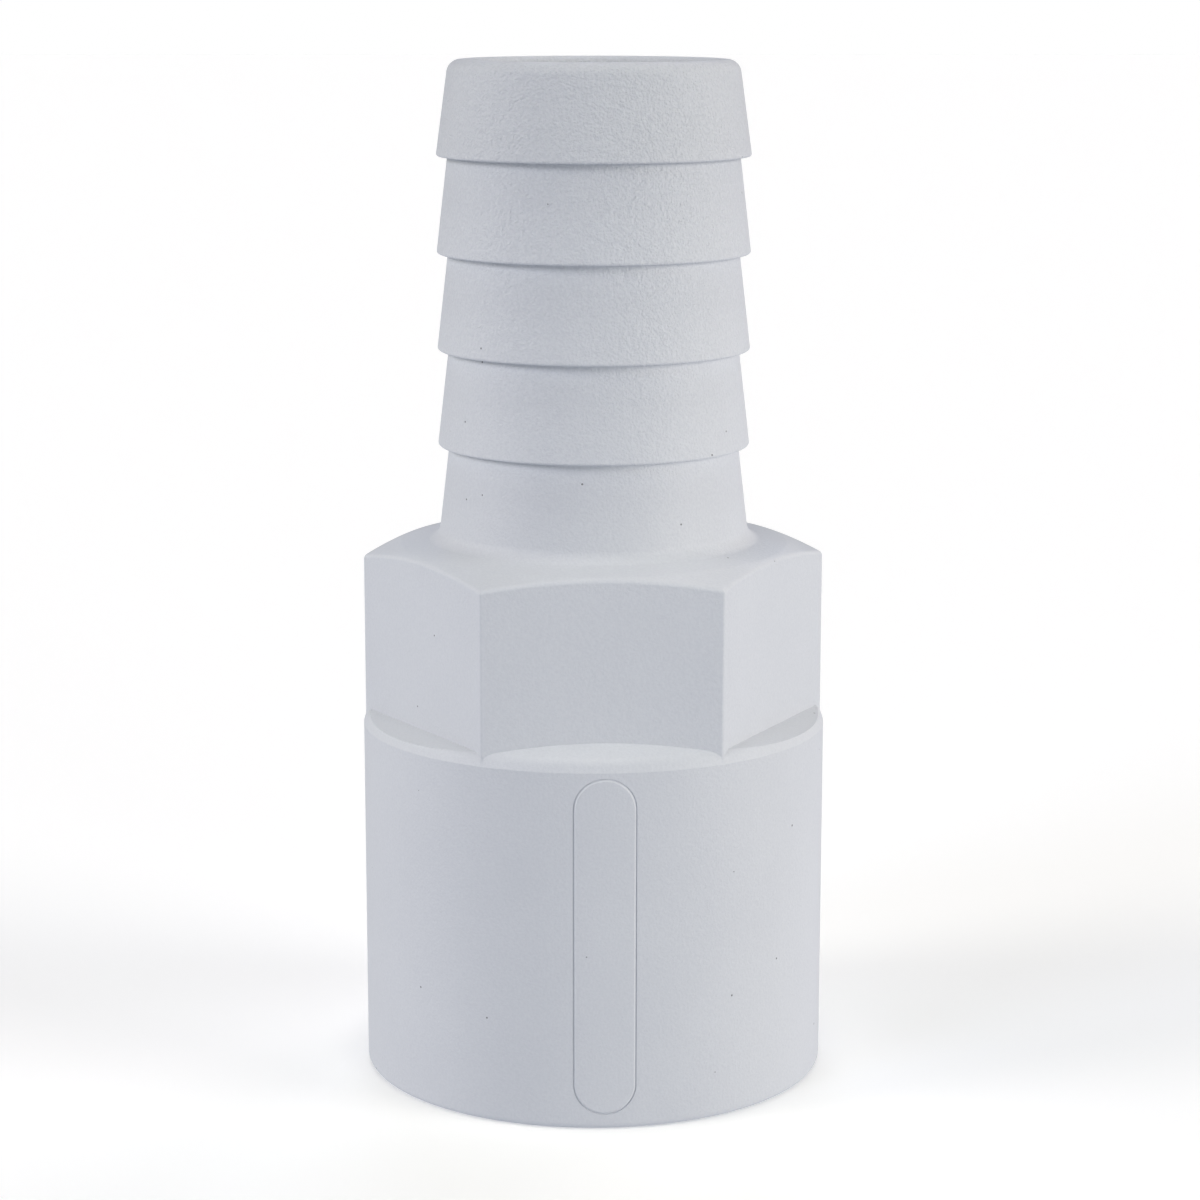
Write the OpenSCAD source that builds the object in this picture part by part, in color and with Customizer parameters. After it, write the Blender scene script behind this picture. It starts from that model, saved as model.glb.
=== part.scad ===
// Threaded hose barb, moulded in one piece in glass-filled nylon.
// A socket with a female 1 inch parallel pipe thread stands at the bottom, a
// hexagon for a spanner above it, and a barbed tail for a 25 mm hose on top.
// Millimetres, +Z up along the waterway, with the socket's mouth at z = 0.

/* [Hose tail] */
// Diameter over the barbs' crests
crest_d = 27.9; // [27.5:0.1:32]
// Diameter at the roots of the barbs
root_d = 25.9; // [24:0.1:26]
// Diameter of the tail's free end, before its edge is rounded
nose_d = 25.6; // [24.5:0.1:26.5]
// Distance from one crest to the next
barb_pitch = 8.53; // [6:0.01:12]
// Height of the end barb, from its crest to the free end
nose_h = 8.4; // [6:0.1:14]
// Number of barbs
barbs = 4; // [2:1:6]
// Height of the neck, from the top of the flats to the lowest crest
neck_h = 9.15; // [7:0.05:20]
// Radius on the crests
crest_round = 0.35; // [0.1:0.05:0.5]
// Radius on the outside of the free end
nose_round = 1.2; // [0.2:0.1:1.4]
// Radius of the fillet where the neck meets the shoulder
foot_round = 1.4; // [0.5:0.1:2.5]

/* [Hexagon] */
// Spanner size, across the flats
across_flats = 36; // [34:0.5:36]
// Height of the flats, from the ledge to the shoulder
flat_h = 15; // [10:0.1:25]
// Slope of the chamfer that cuts the flats' top corners, in degrees
chamfer_slope = 18.5; // [10:0.5:30]
// Slope of the shoulder between the flats and the neck, in degrees
shoulder_slope = 6.5; // [2:0.5:15]

/* [Socket] */
// Outside diameter of the socket
socket_d = 42; // [42:0.5:50]
// Height of the socket's straight wall
socket_h = 31.85; // [30:0.05:45]
// Height of the rim that leans in above the wall
rim_h = 1.05; // [0.8:0.05:3]
// Width of the rim
rim_w = 0.35; // [0.1:0.05:0.5]
// Radius between the rim and the ledge
rim_round = 1; // [0.2:0.1:1.1]
// Slope of the ledge below the front and back flats, in degrees
skirt_slope = 19; // [10:1:30]
// Height of the level ledge beside the other flats, above the top of the rim
ledge_rise = 0.1; // [0:0.05:0.5]
// Radius on the outer edge of the mouth
mouth_round = 0.6; // [0.2:0.1:1]
// Inside diameter, over the crests of the female thread
thread_d = 30.3; // [30.3:0.1:34]
// Depth of the threaded hole, from the mouth to the washer seat
thread_depth = 24; // [18:0.5:28]
// Width of the chamfer that leads into the thread
lead_in = 1.6; // [0.5:0.1:2]

/* [Waterway] */
// Diameter of the waterway through the tail
bore_d = 21; // [18:0.1:22]
// Diameter of the throat at the washer seat, where the funnel starts
throat_d = 25; // [22.5:0.5:27]
// Length of the funnel between the throat and the waterway
funnel_h = 16; // [8:0.5:24]
// Radius on the inner edge of the free end
bore_round = 0.6; // [0.2:0.1:0.8]

/* [Hidden] */
$fn = 96;

// Colour of the nylon
pale_grey = [0.78, 0.79, 0.82];
// Straight pieces in each rounded corner of a profile
arc_steps = 6;
// How far the socket and the hexagon reach into each other
overlap = 3;
// How far the sloping parts of the ledge reach under the flats
tuck = 0.05;
// How far a cutting shape runs past the face that it opens
clear = 1;

crest_r = crest_d / 2;
root_r = root_d / 2;
nose_r = nose_d / 2;
flat_r = across_flats / 2;
socket_r = socket_d / 2;
thread_r = thread_d / 2;
throat_r = throat_d / 2;
bore_r = bore_d / 2;
rim_r = socket_r - rim_w;
across_corners = across_flats / cos(30);

rim_z = socket_h + rim_h;
ledge_z = rim_z + ledge_rise;
flat_top_z = ledge_z + flat_h;
neck_top_z = flat_top_z + neck_h;
end_crest_z = neck_top_z + (barbs - 1) * barb_pitch;
nose_z = end_crest_z + nose_h;
funnel_top_z = thread_depth + funnel_h;

// Height of the sloping ledge, of the chamfer and of the shoulder at a given radius
function skirt_z(r) = rim_z + (rim_r - r) * tan(skirt_slope);
function chamfer_z(r) = flat_top_z + (flat_r - r) * tan(chamfer_slope);
function shoulder_z(r) = flat_top_z + (flat_r - r) * tan(shoulder_slope);

// The neck widens downwards as a barb does, and its foot is where it meets the shoulder
barb_taper = (crest_r - root_r) / barb_pitch;
shoulder_rise = tan(shoulder_slope);
foot_r = (root_r + barb_taper * (neck_h - flat_r * shoulder_rise)) / (1 - barb_taper * shoulder_rise);

// The arc that rounds corner b of a profile, between its neighbours a and c
function round_corner(a, b, c, r) =
    let (
        u = (a - b) / norm(a - b),
        v = (c - b) / norm(c - b),
        half = acos(u * v) / 2,
        centre = b + (u + v) / norm(u + v) * r / sin(half),
        first = b + u * r / tan(half) - centre,
        last = b + v * r / tan(half) - centre,
        turn = 180 - 2 * half,
        step = turn / arc_steps
    )
    [for (i = [0 : arc_steps])
        centre + (first * sin(turn - i * step) + last * sin(i * step)) / sin(turn)];

// A closed profile from [radius, height, corner radius] points
function profile(pts) =
    let (n = len(pts), xy = [for (p = pts) [p[0], p[1]]])
    [for (i = [0 : n - 1])
        each pts[i][2] > 0
            ? round_corner(xy[(i + n - 1) % n], xy[i], xy[(i + 1) % n], pts[i][2])
            : [xy[i]]];

// A solid turned about the axis from such a profile
module turned(pts) {
    rotate_extrude()
        polygon(profile(pts));
}

// The round socket before it is hollowed: its ledge slopes in front and at the back,
// and is cut level beside the four other flats
module socket() {
    skirt_end_r = flat_r - overlap;
    skirt_y = flat_r - tuck;
    difference() {
        turned([
            [0, 0, 0],
            [socket_r, 0, mouth_round],
            [socket_r, socket_h, 0],
            [rim_r, rim_z, rim_round],
            [skirt_end_r, skirt_z(skirt_end_r), 0],
            [0, skirt_z(skirt_end_r), 0]
        ]);
        translate([-socket_r, -skirt_y, ledge_z])
            cube([socket_d, 2 * skirt_y, skirt_z(skirt_end_r) - ledge_z + clear]);
    }
}

// One barb of the tail: a flat underside, a rounded crest and a taper to the next root
function barb(i) =
    let (z = neck_top_z + i * barb_pitch)
    [[root_r, z, 0], [crest_r, z, crest_round]];

// The hexagon and the tail: one turned form, with the six flats cut off it
module hexagon_and_tail() {
    blank_r = across_corners / 2 + clear;
    blank_z = socket_h - overlap;
    intersection() {
        turned([
            [0, blank_z, 0],
            [blank_r, blank_z, 0],
            [blank_r, chamfer_z(blank_r), 0],
            [flat_r, flat_top_z, 0],
            [foot_r, shoulder_z(foot_r), foot_round],
            for (i = [0 : barbs - 1]) each barb(i),
            [nose_r, nose_z, nose_round],
            [0, nose_z, 0]
        ]);
        cylinder(h = nose_z + clear, d = across_corners, $fn = 6);
    }
}

// The hollow inside: lead-in, threaded hole, washer seat, funnel and waterway
module hollow() {
    flare_r = bore_r + bore_round + clear;
    turned([
        [0, -clear, 0],
        [thread_r + lead_in + clear, -clear, 0],
        [thread_r, lead_in, 0],
        [thread_r, thread_depth, 0],
        [throat_r, thread_depth, 0],
        [bore_r, funnel_top_z, 0],
        [bore_r, nose_z, bore_round],
        [flare_r, nose_z, 0],
        [flare_r, nose_z + clear, 0],
        [0, nose_z + clear, 0]
    ]);
}

module hose_barb() {
    color(pale_grey)
        difference() {
            union() {
                socket();
                hexagon_and_tail();
            }
            hollow();
        }
}

hose_barb();
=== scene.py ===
from math import cos, hypot, pi, radians, sin, tan

import bmesh
import bpy
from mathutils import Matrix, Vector


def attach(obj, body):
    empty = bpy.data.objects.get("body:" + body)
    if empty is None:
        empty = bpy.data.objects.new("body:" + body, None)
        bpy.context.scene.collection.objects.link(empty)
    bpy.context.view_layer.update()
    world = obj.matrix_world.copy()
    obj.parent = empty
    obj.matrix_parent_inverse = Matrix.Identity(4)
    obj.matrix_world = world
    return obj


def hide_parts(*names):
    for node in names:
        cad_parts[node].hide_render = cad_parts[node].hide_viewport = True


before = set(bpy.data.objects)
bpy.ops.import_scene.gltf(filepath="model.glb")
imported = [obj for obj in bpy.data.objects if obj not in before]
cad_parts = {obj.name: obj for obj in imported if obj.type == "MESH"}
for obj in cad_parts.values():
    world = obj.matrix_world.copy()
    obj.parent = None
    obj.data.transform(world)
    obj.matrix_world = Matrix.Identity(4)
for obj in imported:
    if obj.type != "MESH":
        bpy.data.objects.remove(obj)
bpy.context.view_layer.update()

mm = 0.001
weldWithin = 0.001 * mm  # points closer than this become one
cutWithin = 0.0005 * mm  # the same after a boolean
pickWithin = 0.002 * mm  # a point this close to a corner is that corner
aside = 0.001  # in mm, keeps a picked point clear of a limit
widestStep = 12  # in degrees, what one step of a rounded corner turns at most
scene = bpy.context.scene


# helpers for working by hand in edit mode
def pickNothing():
    if bpy.context.mode != "OBJECT":
        bpy.ops.object.mode_set(mode="OBJECT")
    bpy.ops.object.select_all(action="DESELECT")


def pickOnly(piece):
    pickNothing()
    piece.select_set(True)
    bpy.context.view_layer.objects.active = piece


def startEdit(piece):
    pickOnly(piece)
    bpy.ops.object.mode_set(mode="EDIT")


def endEdit():
    bpy.ops.object.mode_set(mode="OBJECT")


def weld(within):
    bpy.ops.mesh.select_all(action="SELECT")
    bpy.ops.mesh.remove_doubles(threshold=within)


def faceOutwards():
    bpy.ops.mesh.select_all(action="SELECT")
    bpy.ops.mesh.normals_make_consistent(inside=False)


def selectWhere(kind, wanted):  # kind is VERT, EDGE or FACE, wanted says yes or no to one of them
    bpy.ops.mesh.select_mode(type=kind)
    bpy.ops.mesh.select_all(action="DESELECT")
    shape = bmesh.from_edit_mesh(bpy.context.object.data)
    elements = {"VERT": shape.verts, "EDGE": shape.edges, "FACE": shape.faces}[kind]
    found = [element for element in elements if wanted(element)]
    for element in found:
        element.select_set(True)
    bmesh.update_edit_mesh(bpy.context.object.data)
    return len(found)


def applyModifier(piece, kind, settings):
    pickOnly(piece)
    step = piece.modifiers.new(kind.lower(), kind)
    for name, value in settings.items():
        setattr(step, name, value)
    bpy.ops.object.modifier_apply(modifier=step.name)


def combine(piece, other, operation):  # other is used up
    applyModifier(piece, "BOOLEAN", {"operation": operation, "solver": "EXACT", "object": other})
    bpy.data.objects.remove(other, do_unlink=True)
    startEdit(piece)
    weld(cutWithin)
    endEdit()


def drawOutline(name, corners):  # a closed wire in the XZ plane, from radius and height in mm
    bpy.ops.object.select_all(action="DESELECT")
    bpy.ops.mesh.primitive_plane_add(size=mm)
    piece = bpy.context.object
    piece.name = name
    bpy.ops.object.mode_set(mode="EDIT")
    bpy.ops.mesh.select_mode(type="VERT")
    bpy.ops.mesh.select_all(action="SELECT")
    bpy.ops.mesh.merge(type="CENTER")
    spot = Vector((0, 0, 0))
    for index, (radius, height, _) in enumerate(corners + corners[:1]):
        target = Vector((radius, 0, height)) * mm
        if index == 0:
            bpy.ops.transform.translate(value=target)
        else:
            bpy.ops.mesh.extrude_region_move(TRANSFORM_OT_translate={"value": target - spot})
        spot = target
    weld(weldWithin)
    return piece


def roundCorners(corners):  # each corner of the wire gets its own radius
    count = len(corners)
    for index, (radius, height, rounding) in enumerate(corners):
        if rounding == 0:
            continue
        here = Vector((radius, 0, height))
        last = corners[index - 1]
        following = corners[(index + 1) % count]
        before = Vector((last[0], 0, last[1])) - here
        after = Vector((following[0], 0, following[1])) - here
        half = before.angle(after) / 2
        segments = max(2, round((pi - 2 * half) / radians(widestStep)))
        selectWhere("VERT", lambda vert: (vert.co - here * mm).length < pickWithin)
        bpy.ops.mesh.bevel(
            offset=rounding * mm / tan(half),
            offset_type="OFFSET",
            segments=segments,
            profile=0.5,
            affect="VERTICES",
        )


def turnedForm(name, corners, steps):
    piece = drawOutline(name, corners)
    roundCorners(corners)
    bpy.ops.mesh.select_all(action="SELECT")
    bpy.ops.mesh.spin(steps=steps, angle=2 * pi, center=(0, 0, 0), axis=(0, 0, 1))
    weld(weldWithin)
    faceOutwards()
    endEdit()
    return piece


# the tail and the hexagon, one turned blank with six flats cut off it; all in mm and degrees
tail = {
    "crestRadius": 13.95,
    "rootRadius": 12.95,
    "noseRadius": 12.8,
    "barbPitch": 8.53,
    "noseHeight": 8.4,
    "barbs": 4,
    "lowestCrest": 57.15,
    "crestRound": 0.2,
    "noseRound": 1.2,
    "footRound": 1.4,
    "boreRadius": 10.5,
    "boreRound": 0.9,
    "acrossFlats": 36,
    "flatTop": 48,
    "chamferSlope": 18.5,
    "shoulderRadius": 17.4,
    "shoulderSlope": 8,
    "shoulderRound": 1,
    "blankRadius": 21.6,
    "blankFoot": 29.6,
    "edgeRound": 0.34,
    "edgeSteps": 4,
    "cornerShare": 0.45,  # of the bevel's width, on the six upright corners
    "flatArea": 100,  # an upright face larger than this is one of the flats
    "upright": 0.01,
    "hidden": 1,  # what stands this close to the blank's foot stays sharp
    "steps": 288,
}


def makeTail():
    slope = tan(radians(tail["shoulderSlope"]))
    flatRadius = tail["acrossFlats"] / 2
    taper = (tail["crestRadius"] - tail["rootRadius"]) / tail["barbPitch"]
    chamfer = tan(radians(tail["chamferSlope"]))
    shoulder = tail["flatTop"] + (flatRadius - tail["shoulderRadius"]) * chamfer
    neckHeight = tail["lowestCrest"] - shoulder
    neckFoot = tail["rootRadius"] + taper * (neckHeight - tail["shoulderRadius"] * slope)
    footRadius = neckFoot / (1 - taper * slope)  # where the neck's taper meets the shoulder
    nose = tail["lowestCrest"] + (tail["barbs"] - 1) * tail["barbPitch"] + tail["noseHeight"]
    corners = [
        (tail["boreRadius"], tail["blankFoot"], 0),
        (tail["blankRadius"], tail["blankFoot"], 0),
        (tail["blankRadius"], tail["flatTop"] - (tail["blankRadius"] - flatRadius) * chamfer, 0),
        (tail["shoulderRadius"], shoulder, tail["shoulderRound"]),
        (footRadius, shoulder + (tail["shoulderRadius"] - footRadius) * slope, tail["footRound"]),
    ]
    for index in range(tail["barbs"]):
        height = tail["lowestCrest"] + index * tail["barbPitch"]
        corners.append((tail["rootRadius"], height, 0))
        corners.append((tail["crestRadius"], height, tail["crestRound"]))
    corners.append((tail["noseRadius"], nose, tail["noseRound"]))
    corners.append((tail["boreRadius"], nose, tail["boreRound"]))
    piece = turnedForm("tailBlank", corners, tail["steps"])

    startEdit(piece)
    for turn in range(6):
        facing = Vector((sin(turn * pi / 3), -cos(turn * pi / 3), 0))
        bpy.ops.mesh.select_all(action="SELECT")
        bpy.ops.mesh.bisect(
            plane_co=facing * flatRadius * mm,
            plane_no=facing,
            use_fill=True,
            clear_outer=True,
        )
    weld(weldWithin)

    def isFlat(face):
        return face.calc_area() > tail["flatArea"] * mm * mm and abs(face.normal.z) < tail["upright"]

    hiddenHeight = (tail["blankFoot"] + tail["hidden"]) * mm

    def isTopArc(edge):
        seen = min(vert.co.z for vert in edge.verts) > hiddenHeight
        return seen and sum(isFlat(face) for face in edge.link_faces) == 1

    def isCorner(edge):
        seen = max(vert.co.z for vert in edge.verts) > hiddenHeight
        return seen and sum(isFlat(face) for face in edge.link_faces) == 2

    arcs = selectWhere("EDGE", isTopArc)
    bpy.ops.transform.edge_bevelweight(value=1)
    cornersFound = selectWhere("EDGE", isCorner)
    bpy.ops.transform.edge_bevelweight(value=tail["cornerShare"])
    endEdit()
    applyModifier(piece, "BEVEL", {
        "width": tail["edgeRound"] * mm,
        "segments": tail["edgeSteps"],
        "limit_method": "WEIGHT",
        "use_clamp_overlap": False,
        "miter_outer": "MITER_SHARP",
    })
    print("tail and hexagon:", len(piece.data.polygons), "faces")
    print("bevelled:", arcs, "edges on the arcs,", cornersFound, "corners")
    return piece


# the socket with its ledge
socket = {
    "radius": 20.92,
    "wallHeight": 31.85,
    "rimRadius": 20.57,
    "rimHeight": 32.9,
    "rimRound": 1,
    "skirtSlope": 19,
    "skirtInner": 15,
    "sideHeight": 33,  # the ledge beside four of the flats slopes less than the skirt
    "sideSlope": 9,
    "sideInner": 17.9,
    "sideOuter": 23,
    "sideHalf": 17.95,  # short of the ledge in front and at the back, which stays steeper
    "mouthRound": 0.6,
    "mouthInnerRound": 0.15,
    "seatRound": 0.4,
    "threadRadius": 15.15,
    "leadIn": 1.6,
    "threadDepth": 24,
    "coreRadius": 10,
    "cutPast": 1,
    "cutApart": 0.01,
    "edgeWithin": 0.05,
    "steps": 288,
}


def makeSocket():
    skirtWidth = socket["rimRadius"] - socket["skirtInner"]
    skirtTop = socket["rimHeight"] + skirtWidth * tan(radians(socket["skirtSlope"]))
    corners = [
        (socket["threadRadius"] + socket["leadIn"], 0, socket["mouthInnerRound"]),
        (socket["radius"], 0, socket["mouthRound"]),
        (socket["radius"], socket["wallHeight"], 0),
        (socket["rimRadius"], socket["rimHeight"], socket["rimRound"]),
        (socket["skirtInner"], skirtTop, 0),
        (socket["coreRadius"], skirtTop, 0),
        (socket["coreRadius"], socket["threadDepth"], 0),
        (socket["threadRadius"], socket["threadDepth"], socket["seatRound"]),
        (socket["threadRadius"], socket["leadIn"], 0),
    ]
    piece = turnedForm("socketBlank", corners, socket["steps"])
    drop = (socket["sideOuter"] - socket["sideInner"]) * tan(radians(socket["sideSlope"]))
    cutLow = socket["sideHeight"] - drop + socket["cutApart"]
    cutHeight = skirtTop + socket["cutPast"] - cutLow
    pickNothing()
    bpy.ops.mesh.primitive_cube_add(
        size=1,
        location=(0, 0, (cutLow + cutHeight / 2) * mm),
        scale=(2 * socket["sideOuter"] * mm, 2 * socket["sideHalf"] * mm, cutHeight * mm),
    )
    cutter = bpy.context.object
    bpy.ops.object.transform_apply(location=True, rotation=True, scale=True)
    pickNothing()
    bpy.ops.mesh.primitive_cone_add(
        vertices=6,
        radius1=socket["sideOuter"] / cos(pi / 6) * mm,
        radius2=socket["sideInner"] / cos(pi / 6) * mm,
        depth=drop * mm,
        location=(0, 0, (socket["sideHeight"] - drop / 2) * mm),
        rotation=(0, 0, pi / 6),
    )
    roof = bpy.context.object  # low and six-sided, it leaves the ledge falling away from each flat
    bpy.ops.object.transform_apply(location=True, rotation=True, scale=True)
    combine(cutter, roof, "DIFFERENCE")
    combine(piece, cutter, "DIFFERENCE")
    startEdit(piece)

    def isWallTop(edge):
        level = all(abs(vert.co.z - socket["wallHeight"] * mm) < weldWithin for vert in edge.verts)
        reach = min(hypot(vert.co.x, vert.co.y) for vert in edge.verts)
        return level and reach > (socket["radius"] - socket["edgeWithin"]) * mm

    rimEdges = selectWhere("EDGE", isWallTop)
    bpy.ops.mesh.mark_sharp()
    endEdit()
    print("socket:", len(piece.data.polygons), "faces,", rimEdges, "edges round the top of the wall")
    return piece


# the raised pad on the socket's front, left bare
pad = {
    "middle": 0.13,
    "width": 5.45,
    "low": 1.4,
    "high": 31.35,
    "face": 20.98,
    "foot": 20.84,
    "edge": 0.2,
    "gap": 0.04,
    "sunk": 0.5,
    "sweep": 0.35,  # between the cuts that let it follow the wall
    "bedPast": 1,
    "facing": 0.9,  # how squarely a face looks forwards to be the plate's front
    "ringSteps": 64,
}


def makeCapsule(name, half, inner, outer, edge):  # an upright bar with round ends, bent round the wall
    depth = outer - inner
    pickNothing()
    bpy.ops.mesh.primitive_cylinder_add(
        vertices=pad["ringSteps"],
        radius=half * mm,
        depth=depth * mm,
        location=(0, -depth / 2 * mm, (pad["high"] - pad["width"] / 2) * mm),
        rotation=(pi / 2, 0, 0),
    )
    piece = bpy.context.object
    piece.name = name
    bpy.ops.object.transform_apply(location=True, rotation=True, scale=True)
    bpy.ops.object.mode_set(mode="EDIT")
    selectWhere("VERT", lambda vert: vert.co.z < (pad["high"] - pad["width"] / 2 - aside) * mm)
    bpy.ops.transform.translate(value=(0, 0, -(pad["high"] - pad["low"] - pad["width"]) * mm))
    if edge:
        selectWhere("FACE", lambda face: face.normal.y < -pad["facing"])
        bpy.ops.mesh.inset(thickness=edge * mm, depth=0)
        bpy.ops.transform.translate(value=(0, (pad["foot"] - pad["face"]) * mm, 0))
    cuts = int(half / pad["sweep"])
    for index in range(-cuts, cuts + 1):
        bpy.ops.mesh.select_all(action="SELECT")
        bpy.ops.mesh.bisect(plane_co=(index * pad["sweep"] * mm, 0, 0), plane_no=(1, 0, 0))
    endEdit()
    for vert in piece.data.vertices:
        radius = inner * mm - vert.co.y
        turn = (vert.co.x + pad["middle"] * mm) / (pad["face"] * mm)
        vert.co.x = radius * sin(turn)
        vert.co.y = -radius * cos(turn)
    startEdit(piece)
    faceOutwards()
    endEdit()
    print(name, len(piece.data.polygons), "faces")
    return piece


def addPad(piece):  # it stands in a shallow bed, so that its edge shows as a line
    half = pad["width"] / 2
    bed = makeCapsule("padBed", half + pad["gap"], pad["foot"], pad["face"] + pad["bedPast"], 0)
    combine(piece, bed, "DIFFERENCE")
    plate = makeCapsule("padPlate", half, pad["foot"] - pad["sunk"], pad["foot"], pad["edge"])
    combine(piece, plate, "UNION")


# the cutters for the funnel and the thread
funnel = {
    "throatRadius": 12.5,
    "boreRadius": 10.5,
    "low": 24,
    "high": 40,
    "past": 3,
    "steps": 288,
}


def makeFunnel():
    slope = (funnel["throatRadius"] - funnel["boreRadius"]) / (funnel["high"] - funnel["low"])
    low = funnel["low"] - funnel["past"]
    high = funnel["high"] + funnel["past"]
    lowRadius = funnel["throatRadius"] + slope * funnel["past"]
    highRadius = funnel["boreRadius"] - slope * funnel["past"]
    corners = [(0, low, 0), (lowRadius, low, 0), (highRadius, high, 0), (0, high, 0)]
    return turnedForm("funnelCutter", corners, funnel["steps"])


thread = {
    "pitch": 2.309,
    "minorRadius": 15.15,
    "majorRadius": 16.62,
    "flankAngle": 27.5,
    "rootShare": 12,  # the groove's root is a sixth of the pitch wide
    "inside": 0.25,  # the tap's inner side stands this far inside the hole's wall
    "start": -1.8,
    "turns": 10,
    "stepsPerTurn": 144,
    "runOut": 0.4,  # of a turn, over which the groove fades at its top end
    "lastDepth": 0.1,
}


def makeTap():
    inner = thread["minorRadius"] - thread["inside"]
    rootHalf = thread["pitch"] / thread["rootShare"]
    flank = tan(radians(thread["flankAngle"]))
    innerHalf = rootHalf + (thread["majorRadius"] - inner) * flank
    corners = [
        (inner, -innerHalf, 0),
        (thread["majorRadius"], -rootHalf, 0),
        (thread["majorRadius"], rootHalf, 0),
        (inner, innerHalf, 0),
    ]
    piece = drawOutline("tap", corners)
    endEdit()
    perRing = len(piece.data.vertices)
    applyModifier(piece, "SCREW", {
        "axis": "Z",
        "angle": 2 * pi,
        "screw_offset": thread["pitch"] * mm,
        "iterations": thread["turns"],
        "steps": thread["stepsPerTurn"],
        "render_steps": thread["stepsPerTurn"],
        "use_merge_vertices": False,
        "use_smooth_shade": False,
    })
    fade = thread["runOut"] * thread["stepsPerTurn"]
    last = len(piece.data.vertices) // perRing - 1
    for index, vert in enumerate(piece.data.vertices):
        left = last - index // perRing
        vert.co.z += thread["start"] * mm
        if left < fade:
            reach = hypot(vert.co.x, vert.co.y)
            share = thread["lastDepth"] + (1 - thread["lastDepth"]) * left / fade
            wanted = inner * mm + (reach - inner * mm) * share
            vert.co.x *= wanted / reach
            vert.co.y *= wanted / reach
    startEdit(piece)
    bpy.ops.mesh.select_all(action="SELECT")
    bpy.ops.mesh.fill_holes(sides=0)
    faceOutwards()
    endEdit()
    print("tap:", len(piece.data.polygons), "faces, ring of", perRing)
    return piece


# the whole fitting, one moulding
shading = {
    "smoothAngle": 30,
    "normalWeight": 50,
}


def makeFitting():
    piece = makeSocket()
    addPad(piece)
    print("pad joined:", len(piece.data.polygons), "faces")
    combine(piece, makeTail(), "UNION")
    print("tail joined:", len(piece.data.polygons), "faces")
    combine(piece, makeFunnel(), "DIFFERENCE")
    print("funnel cut:", len(piece.data.polygons), "faces")
    combine(piece, makeTap(), "DIFFERENCE")
    print("thread cut:", len(piece.data.polygons), "faces")
    startEdit(piece)
    bpy.ops.mesh.select_all(action="SELECT")
    bpy.ops.mesh.dissolve_degenerate(threshold=weldWithin)
    faceOutwards()
    openEdges = selectWhere("EDGE", lambda edge: len(edge.link_faces) != 2)
    pickOnly(piece)
    bpy.ops.object.shade_smooth_by_angle(angle=radians(shading["smoothAngle"]), keep_sharp_edges=True)
    applyModifier(piece, "WEIGHTED_NORMAL", {"keep_sharp": True, "weight": shading["normalWeight"]})
    piece.name = "mouldedFitting"
    piece.data.name = "mouldedFitting"
    print("fitting:", len(piece.data.polygons), "faces, open edges", openEdges)
    return piece


# shader maths as expressions: each Wire is one node's output
class Wire:
    def __init__(self, tree, plug=None):
        self.tree = tree
        self.plug = plug

    def node(self, kind, settings=None, inputs=None, out=0):
        made = self.tree.nodes.new(kind)
        for name, value in (settings or {}).items():
            setattr(made, name, value)
        for name, value in (inputs or {}).items():
            if isinstance(value, Wire):
                self.tree.links.new(value.plug, made.inputs[name])
            else:
                made.inputs[name].default_value = value
        return Wire(self.tree, made.outputs[out])

    def maths(self, operation, first, second, clamp=False, third=0):
        settings = {"operation": operation, "use_clamp": clamp}
        return self.node("ShaderNodeMath", settings, {0: first, 1: second, 2: third})

    def mix(self, share, first, second):
        firstColour, secondColour, mixedColour = 6, 7, 2  # the node's sockets for colours
        inputs = {"Factor": share, firstColour: first, secondColour: second}
        return self.node("ShaderNodeMix", {"data_type": "RGBA"}, inputs, out=mixedColour)

    def __add__(self, other):
        return self.maths("ADD", self, other)

    def __sub__(self, other):
        return self.maths("SUBTRACT", self, other)

    def __mul__(self, other):
        return self.maths("MULTIPLY", self, other)

    def __gt__(self, other):
        return self.maths("GREATER_THAN", self, other)

    def __lt__(self, other):
        return self.maths("LESS_THAN", self, other)


black = (0, 0, 0, 1)
nylon = {  # colours, then what each pattern adds; all depths and heights in mm
    "pale": (0.67, 0.69, 0.725, 1),
    "deep": (0.63, 0.65, 0.69, 1),
    "speckColour": (0.12, 0.12, 0.13, 1),
    "speckShare": 0.85,
    "mottlePerMetre": 90,
    "mottleDetail": 3,
    "mottleTone": 1.2,
    "mottleRough": 0.08,
    "grainPerMetre": 4200,
    "grainCrispness": 0.6,
    "fineDetail": 2,
    "pebblePerMetre": 1800,
    "pebbleCrispness": 0.55,
    "pebbleShare": 0.4,
    "pebbleRough": 0.12,
    "grainTone": 2.2,
    "grainShare": 0.6,
    "speckPerMetre": 700,
    "speckRadius": 0.065,  # in cells of the speck pattern
    "speckRarity": 0.88,
    "speckDip": 0.5,
    "grainDepth": 0.055,
    "tailFoot": 46.5,  # the mould is rougher towards the free end
    "tailEnd": 78.5,
    "tailGrain": 3.5,
    "tailTone": 2,
    # painted shade: over these heights the base colour darkens towards black at the nose's end
    "noseFoot": 80,
    "noseEnd": 84,
    "paintedNoseShade": 0.065,
    "roughness": 0.55,
    "refraction": 1.5,
}


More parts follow.
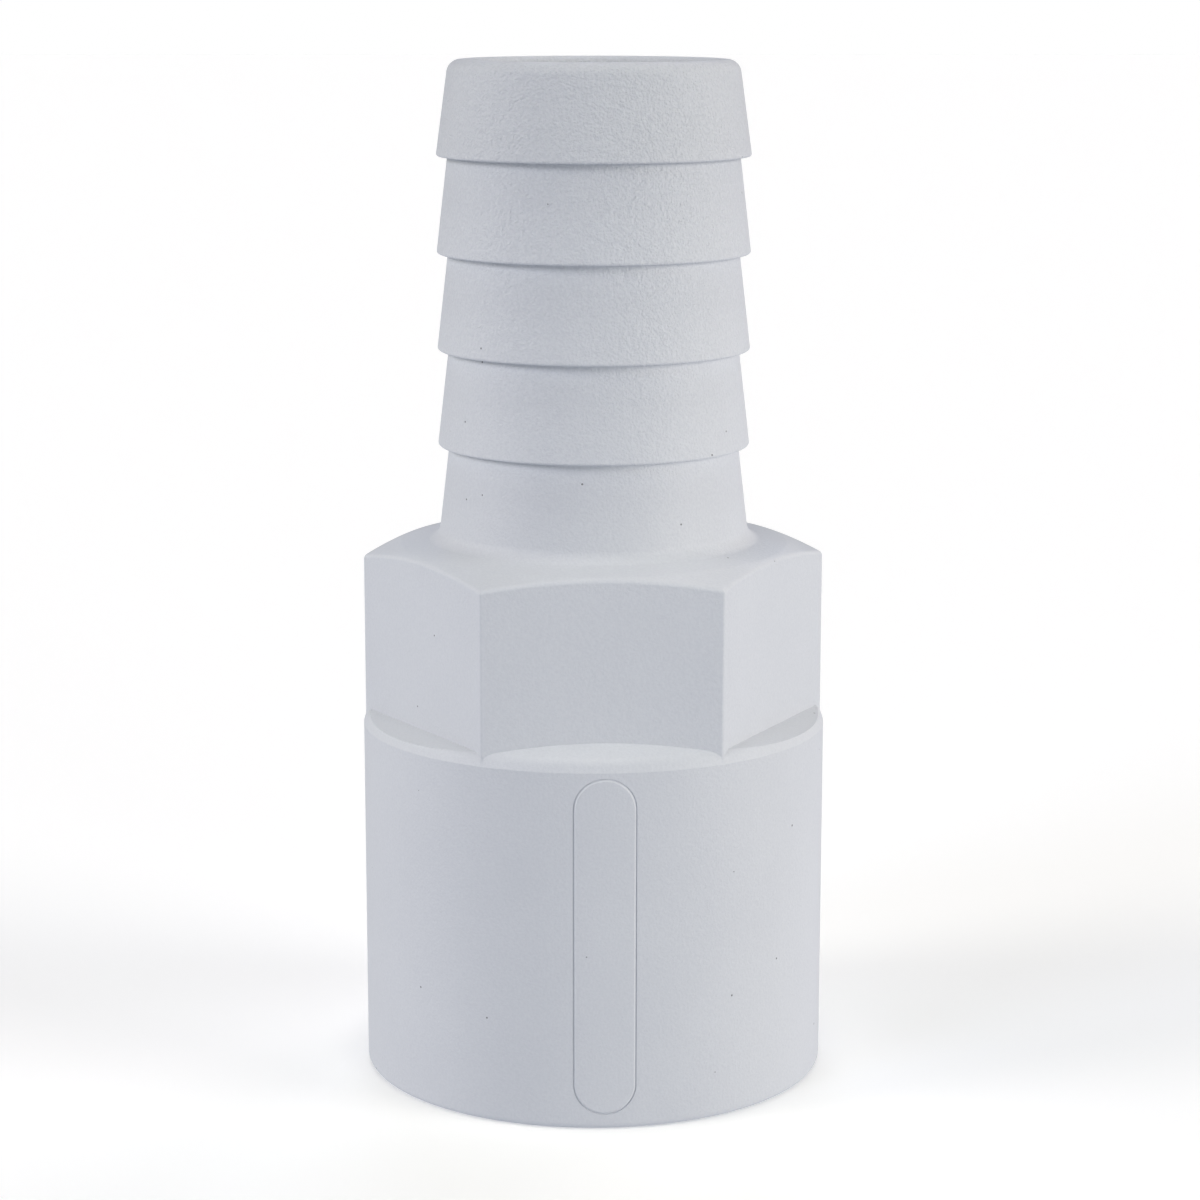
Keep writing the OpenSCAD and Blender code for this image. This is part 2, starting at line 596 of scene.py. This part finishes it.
def makeNylon():
    material = bpy.data.materials.new("paleGlassFilledNylon")
    material.use_nodes = True
    tree = material.node_tree
    tree.nodes.clear()
    start = Wire(tree)
    place = start.node("ShaderNodeTexCoord", out="Object")
    height = start.node("ShaderNodeSeparateXYZ", None, {0: place}, out="Z")

    def noise(scale, detail, crispness=0.5):
        inputs = {"Vector": place, "Scale": scale, "Detail": detail, "Roughness": crispness}
        return start.node("ShaderNodeTexNoise", {"noise_dimensions": "3D"}, inputs)

    def cells(output):
        inputs = {"Vector": place, "Scale": nylon["speckPerMetre"], "Randomness": 1}
        return start.node("ShaderNodeTexVoronoi", {"feature": "F1"}, inputs, out=output)

    def rise(foot, end):  # 0 at one height and 1 at the other
        span = (end - foot) * mm
        return start.maths("MULTIPLY_ADD", height, 1 / span, clamp=True, third=-foot * mm / span)

    upTail = rise(nylon["tailFoot"], nylon["tailEnd"])
    paintedShadeAtNose = rise(nylon["noseFoot"], nylon["noseEnd"])
    mottle = noise(nylon["mottlePerMetre"], nylon["mottleDetail"])
    grain = noise(nylon["grainPerMetre"], nylon["fineDetail"], nylon["grainCrispness"])
    pebble = noise(nylon["pebblePerMetre"], nylon["fineDetail"], nylon["pebbleCrispness"])
    toneDepth = (upTail * nylon["tailTone"] + 1) * nylon["grainTone"]
    paleness = (mottle - 0.5) * nylon["mottleTone"] + (grain - 0.5) * toneDepth + 0.5
    base = start.mix(paleness, nylon["deep"], nylon["pale"])
    # painted shade: the nose's end is darkened in the base colour, standing in for the lesser light
    # that falls there
    base = start.mix(paintedShadeAtNose * nylon["paintedNoseShade"], base, black)
    chance = start.node("ShaderNodeSeparateColor", None, {"Color": cells("Color")}, out=0)
    speck = (cells("Distance") < nylon["speckRadius"]) * (chance > nylon["speckRarity"])
    coloured = start.mix(speck * nylon["speckShare"], base, nylon["speckColour"])
    relief = grain * nylon["grainShare"] + pebble * nylon["pebbleShare"]
    relief = relief * (upTail * nylon["tailGrain"] + 1) - speck * nylon["speckDip"]
    bump = start.node(
        "ShaderNodeBump",
        None,
        {"Strength": 1, "Distance": nylon["grainDepth"] * mm, "Height": relief},
    )
    rough = (pebble - 0.5) * nylon["pebbleRough"] + nylon["roughness"]
    rough = rough + (mottle - 0.5) * nylon["mottleRough"]
    surface = start.node(
        "ShaderNodeBsdfPrincipled",
        None,
        {"Base Color": coloured, "Roughness": rough, "Normal": bump, "IOR": nylon["refraction"]},
    )
    output = tree.nodes.new("ShaderNodeOutputMaterial")
    tree.links.new(surface.plug, output.inputs["Surface"])
    return material


# camera, floor and lights; the camera was fitted to the photo's edges, in metres and degrees
camera = {
    "place": (-0.011447, -0.278662, 0.097869),
    "turn": (78.82, -0.0451, -2.4606),
    "lens": 94.0126,
    "sensor": 36,
    "near": 0.01,
    "far": 50,
}


def makeCamera():
    data = bpy.data.cameras.new("productCamera")
    data.sensor_width = camera["sensor"]
    data.lens = camera["lens"]
    data.clip_start = camera["near"]
    data.clip_end = camera["far"]
    piece = bpy.data.objects.new("productCamera", data)
    scene.collection.objects.link(piece)
    piece.location = camera["place"]
    piece.rotation_euler = [radians(value) for value in camera["turn"]]
    scene.camera = piece
    print("camera ready")


studio = {
    "floorSize": 8,
    "floorTone": (0.93, 0.93, 0.93, 1),
    "floorGlow": (0.17, 0.17, 0.16, 1),
    "backdrop": (1, 1, 1, 1),  # what the camera sees behind the floor
    "lightFromBelow": (0.58, 0.60, 0.65, 1),  # stands in for the light that a table throws back
    "softLights": [  # name, degrees to the right, degrees up, degrees wide, red, green, blue
        ("leftKey", -75, 22, 25, 1.35, 1.29, 1.22),
        ("leftFront", -48, 28, 20, 0.40, 0.43, 0.535),
        ("leftBack", -105, 38, 25, 0.24, 0.215, 0.24),
        ("leftLow", -120, 12, 30, 0.185, 0.205, 0.16),
        ("front", 30, 12, 25, 0.21, 0.24, 0.23),
        ("rightKey", 65, 12, 30, 1.86, 1.755, 1.665),
        ("rightHigh", 75, 42, 20, 0.16, 0.185, 0.20),
        ("top", 0, 87, 14, 0.88, 0.885, 0.825),
        ("backLow", 120, 12, 30, 0.23, 0.22, 0.23),
        ("backRight", 140, 38, 25, 0.365, 0.33, 0.355),
        ("back", 180, 45, 25, 0.335, 0.36, 0.455),
    ],
}


def makeStudio():
    pickNothing()
    bpy.ops.mesh.primitive_plane_add(size=studio["floorSize"])
    floor = bpy.context.object
    floor.name = "floor"
    paper = bpy.data.materials.new("paleFloor")
    paper.use_nodes = True
    shader = paper.node_tree.nodes["Principled BSDF"]
    shader.inputs["Base Color"].default_value = studio["floorTone"]
    shader.inputs["Roughness"].default_value = 1
    shader.inputs["Specular IOR Level"].default_value = 0
    shader.inputs["Emission Color"].default_value = studio["floorGlow"]
    shader.inputs["Emission Strength"].default_value = 1
    floor.data.materials.append(paper)
    floor.visible_diffuse = False  # so that the light from below passes it
    floor.visible_glossy = False
    floor.visible_shadow = False
    world = bpy.data.worlds.new("paleRoom")
    scene.world = world
    world.use_nodes = True
    start = Wire(world.node_tree)
    seen = start.node("ShaderNodeLightPath", out="Is Camera Ray")
    skyward = start.node("ShaderNodeTexCoord", out="Generated")
    below = start.node("ShaderNodeSeparateXYZ", None, {0: skyward}, out="Z") < 0
    lit = start.mix(below, black, studio["lightFromBelow"])
    tone = start.mix(seen, lit, studio["backdrop"])
    sky = world.node_tree.nodes["Background"]
    world.node_tree.links.new(tone.plug, sky.inputs["Color"])
    for name, side, up, width, red, green, blue in studio["softLights"]:
        data = bpy.data.lights.new(name, "SUN")
        data.energy = max(red, green, blue)
        data.color = (red / data.energy, green / data.energy, blue / data.energy)
        data.angle = radians(width)
        lamp = bpy.data.objects.new(name, data)
        scene.collection.objects.link(lamp)
        level = cos(radians(up))
        direction = Vector((sin(radians(side)) * level, -cos(radians(side)) * level, sin(radians(up))))
        lamp.location = direction
        lamp.rotation_euler = (-direction).to_track_quat("-Z", "Y").to_euler()
    print("studio ready,", len(studio["softLights"]), "soft lights")


scene.view_settings.view_transform = "Standard"
makeCamera()
makeStudio()
fitting = makeFitting()
fitting.data.materials.clear()
fitting.data.materials.append(makeNylon())
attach(fitting, "root")
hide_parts("hose_barb")
